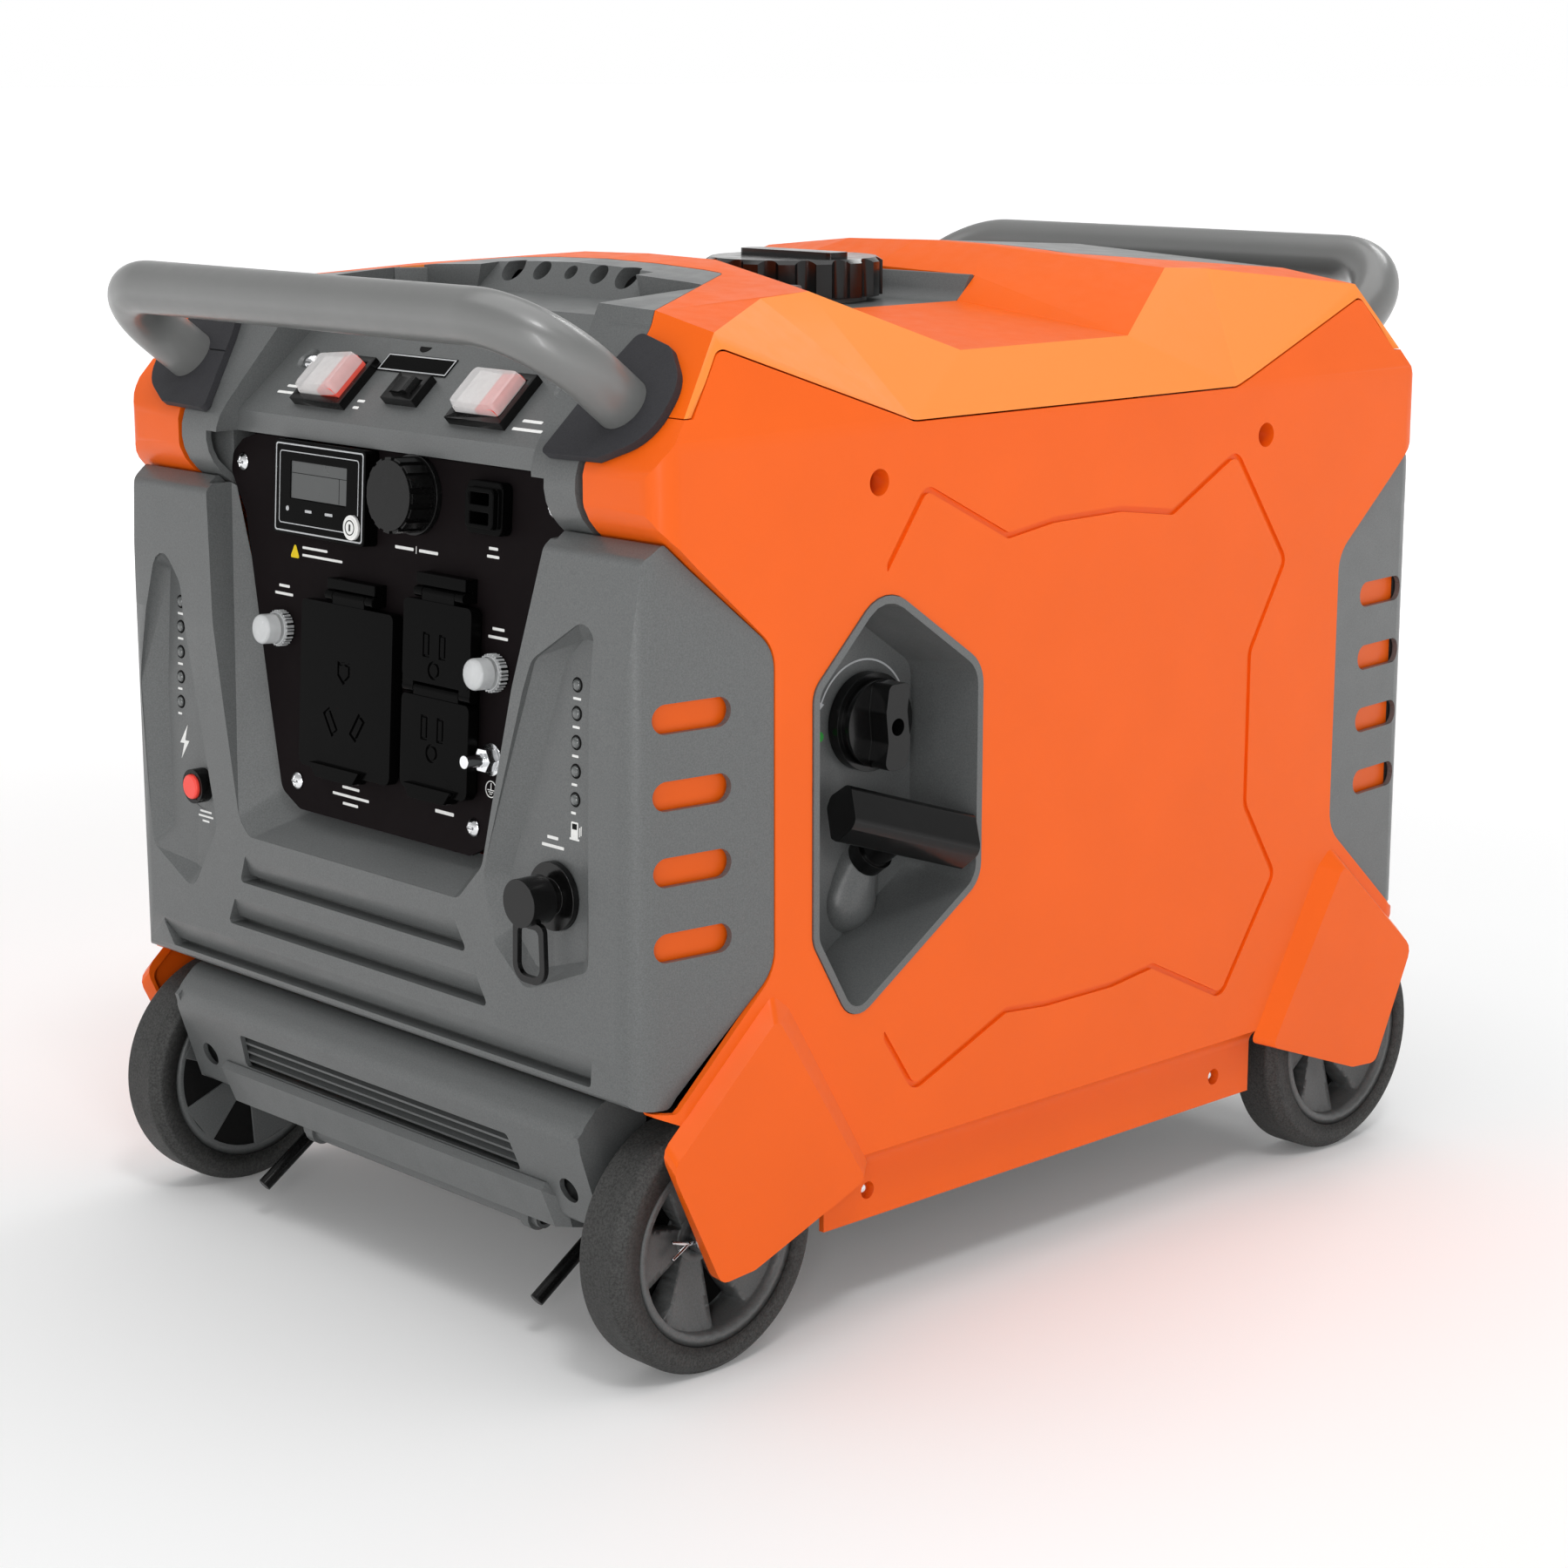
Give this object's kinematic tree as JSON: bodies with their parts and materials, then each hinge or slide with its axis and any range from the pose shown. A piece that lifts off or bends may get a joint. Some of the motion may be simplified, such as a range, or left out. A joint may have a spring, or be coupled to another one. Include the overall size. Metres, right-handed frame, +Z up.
{
  "type": "portable generator",
  "caption": "Portable inverter generator with faceted orange shells, gray covers, control panel, recoil starter, tube handles and rolling wheels.",
  "frame": {"origin": "on the ground below the middle of the machine", "axes": "+Z up, -Y out of the control panel's side, +X out of the starter's side"},
  "size_m": [0.4223, 0.6178, 0.481],
  "materials": {
    "black_panel": "smooth black panel",
    "black_plastic": "satin black plastic",
    "cast_alloy": "cast",
    "chrome_screw": "bright",
    "clear_cap": "frosted clear boot",
    "copper_core": "laminated core and varnished windings",
    "frame_paint": "gray powder coat",
    "gray_plastic": "fine-textured gray plastic",
    "handle_tube": "satin metallic gray paint",
    "hub_plastic": "gray plastic",
    "orange_shell": "semi-gloss orange moulded plastic",
    "orange_top": "semi-gloss orange moulded plastic",
    "red_button": "red",
    "rocker_red": "red rocker under a clear boot",
    "rope_white": "braided cord",
    "steel": "zinc-plated",
    "tyre_rubber": "dark speckled rubber",
    "white_button": "white"
  },
  "bodies": {
    "root": {"base_tray": "frame_paint", "end_shields": "frame_paint", "axles": "steel", "tie_down_pegs": "black_plastic", "right_side_shell": "orange_shell", "left_side_shell": "orange_shell", "service_door": "orange_shell", "top_cover": "orange_top", "front_cover": "gray_plastic", "rear_cover": "gray_plastic", "front_console": "gray_plastic", "rear_console": "gray_plastic", "control_panel": "black_panel", "front_handle": "handle_tube", "rear_handle": "handle_tube", "handle_mounts": "black_plastic", "starter_pocket": "gray_plastic", "fuel_tank": "black_plastic", "filler_tray": "gray_plastic", "engine_block": "cast_alloy", "stator": "copper_core", "recoil_housing": "black_plastic", "air_filter": "black_plastic", "muffler": "steel", "inverter_module": "cast_alloy", "battery": "black_plastic", "display_unit": "black_panel", "usb_socket": "black_plastic", "rv_outlet": "black_plastic", "duplex_outlet": "black_plastic", "parallel_socket": "black_plastic", "ground_terminal": "chrome_screw", "lp_inlet": "black_plastic", "switch_bezels": "black_plastic", "fasteners": "chrome_screw"},
    "front_right_wheel": {"front_right_tyre": "tyre_rubber", "front_right_hub": "hub_plastic"},
    "front_left_wheel": {"front_left_tyre": "tyre_rubber", "front_left_hub": "hub_plastic"},
    "rear_right_wheel": {"rear_right_tyre": "tyre_rubber", "rear_right_hub": "hub_plastic"},
    "rear_left_wheel": {"rear_left_tyre": "tyre_rubber", "rear_left_hub": "hub_plastic"},
    "crankshaft": {"crankshaft": "steel"},
    "fuel_cap": {"fuel_cap": "black_plastic"},
    "starter_grip": {"starter_grip": "black_plastic", "starter_rope": "rope_white"},
    "fuel_selector_knob": {"fuel_selector_knob": "black_plastic"},
    "engine_rocker": {"engine_rocker": "rocker_red"},
    "start_rocker": {"start_rocker": "rocker_red"},
    "eco_rocker": {"eco_rocker": "black_plastic"},
    "main_reset_button": {"main_reset_button": "red_button"},
    "left_reset_cap": {"left_reset_cap": "clear_cap"},
    "right_reset_cap": {"right_reset_cap": "clear_cap"},
    "mode_button": {"mode_button": "white_button"},
    "rv_outlet_cover": {"rv_outlet_cover": "black_plastic"},
    "duplex_cover_upper": {"duplex_cover_upper": "black_plastic"},
    "duplex_cover_lower": {"duplex_cover_lower": "black_plastic"},
    "parallel_cap": {"parallel_cap": "black_plastic"},
    "lp_cap": {"lp_cap": "black_plastic"}
  },
  "joints": [
    {"name": "front_right_wheel_spin", "type": "hinge", "parent": "root", "child": "front_right_wheel", "pos_m": [0.18, -0.226, 0.06], "axis": [1, 0, 0], "continuous": true},
    {"name": "front_left_wheel_spin", "type": "hinge", "parent": "root", "child": "front_left_wheel", "pos_m": [-0.18, -0.226, 0.06], "axis": [1, 0, 0], "continuous": true},
    {"name": "rear_right_wheel_spin", "type": "hinge", "parent": "root", "child": "rear_right_wheel", "pos_m": [0.18, 0.226, 0.06], "axis": [1, 0, 0], "continuous": true},
    {"name": "rear_left_wheel_spin", "type": "hinge", "parent": "root", "child": "rear_left_wheel", "pos_m": [-0.18, 0.226, 0.06], "axis": [1, 0, 0], "continuous": true},
    {"name": "crankshaft_spin", "type": "hinge", "parent": "root", "child": "crankshaft", "pos_m": [0, 0.02, 0.15], "axis": [1, 0, 0], "continuous": true},
    {"name": "fuel_cap_turn", "type": "hinge", "parent": "root", "child": "fuel_cap", "pos_m": [0, 0.005, 0.466], "axis": [0, 0, 1], "range_deg": [0, 90]},
    {"name": "starter_pull", "type": "slide", "parent": "root", "child": "starter_grip", "axis": [0.7986, 0, 0.6018], "range_m": [0, 0.5], "stiffness_N_per_m": 20, "springref_m": -0.2},
    {"name": "fuel_selector_turn", "type": "hinge", "parent": "root", "child": "fuel_selector_knob", "pos_m": [0.1634, -0.106, 0.276], "axis": [1, 0, 0], "range_deg": [0, 110]},
    {"name": "engine_rocker_tilt", "type": "hinge", "parent": "root", "child": "engine_rocker", "pos_m": [-0.0595, -0.23461, 0.42231], "axis": [0, 0.7431, 0.6691], "range_deg": [0, 14]},
    {"name": "start_rocker_tilt", "type": "hinge", "parent": "root", "child": "start_rocker", "pos_m": [0.0595, -0.23461, 0.42231], "axis": [0, 0.7431, 0.6691], "range_deg": [0, 8], "stiffness_Nm_per_rad": 0.4, "springref_deg": -1.72},
    {"name": "eco_rocker_tilt", "type": "hinge", "parent": "root", "child": "eco_rocker", "pos_m": [-0.0027, -0.23461, 0.42231], "axis": [0, 0.7431, 0.6691], "range_deg": [0, 12]},
    {"name": "main_reset_press", "type": "slide", "parent": "root", "child": "main_reset_button", "axis": [0, 1, 0], "range_m": [0, 0.0025], "stiffness_N_per_m": 400, "springref_m": -0.001},
    {"name": "left_reset_press", "type": "slide", "parent": "root", "child": "left_reset_cap", "axis": [0, 0.9981, -0.062], "range_m": [0, 0.0025], "stiffness_N_per_m": 400, "springref_m": -0.001},
    {"name": "right_reset_press", "type": "slide", "parent": "root", "child": "right_reset_cap", "axis": [0, 0.9981, -0.062], "range_m": [0, 0.0025], "stiffness_N_per_m": 400, "springref_m": -0.001},
    {"name": "mode_press", "type": "slide", "parent": "root", "child": "mode_button", "axis": [0, 0.9981, -0.062], "range_m": [0, 0.001], "stiffness_N_per_m": 400, "springref_m": -0.001},
    {"name": "rv_cover_lift", "type": "hinge", "parent": "root", "child": "rv_outlet_cover", "pos_m": [-0.0195, -0.25955, 0.32813], "axis": [-1, 0, 0], "range_deg": [0, 105]},
    {"name": "duplex_upper_lift", "type": "hinge", "parent": "root", "child": "duplex_cover_upper", "pos_m": [0.048, -0.25894, 0.33791], "axis": [-1, 0, 0], "range_deg": [0, 105]},
    {"name": "duplex_lower_lift", "type": "hinge", "parent": "duplex_cover_upper", "child": "duplex_cover_lower", "pos_m": [0.048, -0.26168, 0.29379], "axis": [-1, 0, 0], "range_deg": [0, 90]},
    {"name": "parallel_cap_turn", "type": "hinge", "parent": "root", "child": "parallel_cap", "pos_m": [0.02, -0.26032, 0.38027], "axis": [0, -0.9981, 0.062], "range_deg": [0, 90]},
    {"name": "lp_cap_pull", "type": "slide", "parent": "root", "child": "lp_cap", "axis": [0, -1, 0], "range_m": [0, 0.025]}
  ]
}
